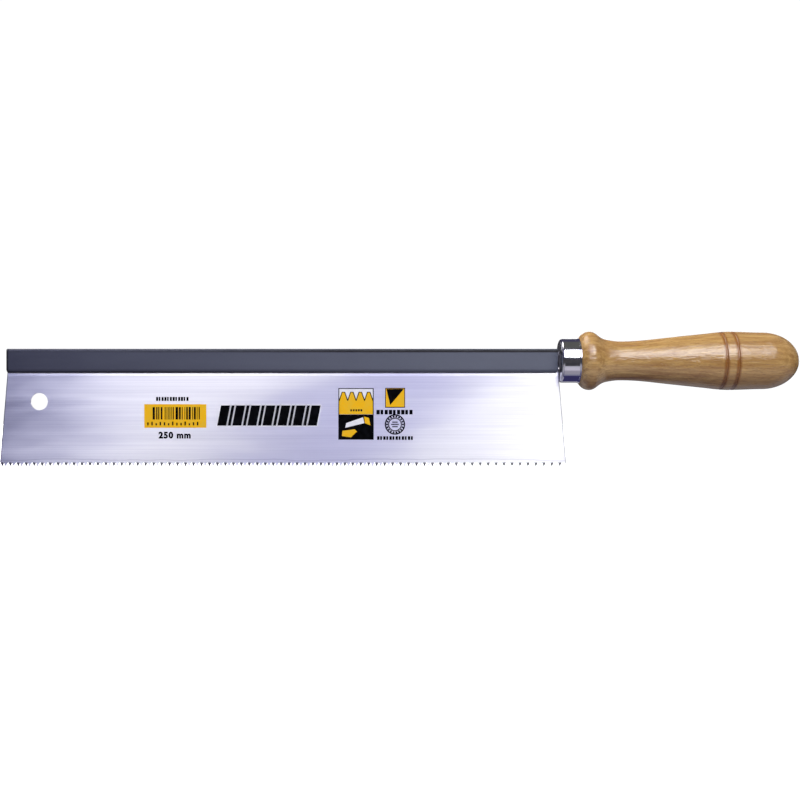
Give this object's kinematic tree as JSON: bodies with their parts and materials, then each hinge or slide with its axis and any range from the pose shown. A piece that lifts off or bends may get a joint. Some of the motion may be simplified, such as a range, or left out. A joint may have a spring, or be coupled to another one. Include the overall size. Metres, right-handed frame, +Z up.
{
  "type": "back saw",
  "caption": "Straight-handled back saw: a thin toothed steel blade gripped by a folded steel back, with a tang through a plated ferrule into a turned wooden handle.",
  "frame": {"origin": "bottom centre of the whole saw: the tooth tips are at Z = 0, the ends of the saw are equally far along X, and the blade's middle plane is Y = 0", "axes": "+X from the blade's toe to the butt of the handle, +Z up from the teeth to the back, Y across the blade's thickness"},
  "size_m": [0.3522, 0.0258, 0.0597],
  "materials": {
    "blade_steel": "fine lengthwise brushing, bright",
    "back_paint": "slate grey satin enamel",
    "tang_steel": "plain, slightly dull",
    "ferrule_plating": "bright nickel plating",
    "handle_wood": "clear gloss lacquer on beech"
  },
  "bodies": {
    "root": {"blade": "blade_steel", "back": "back_paint", "tang": "tang_steel", "ferrule": "ferrule_plating", "handle": "handle_wood"}
  },
  "joints": []
}
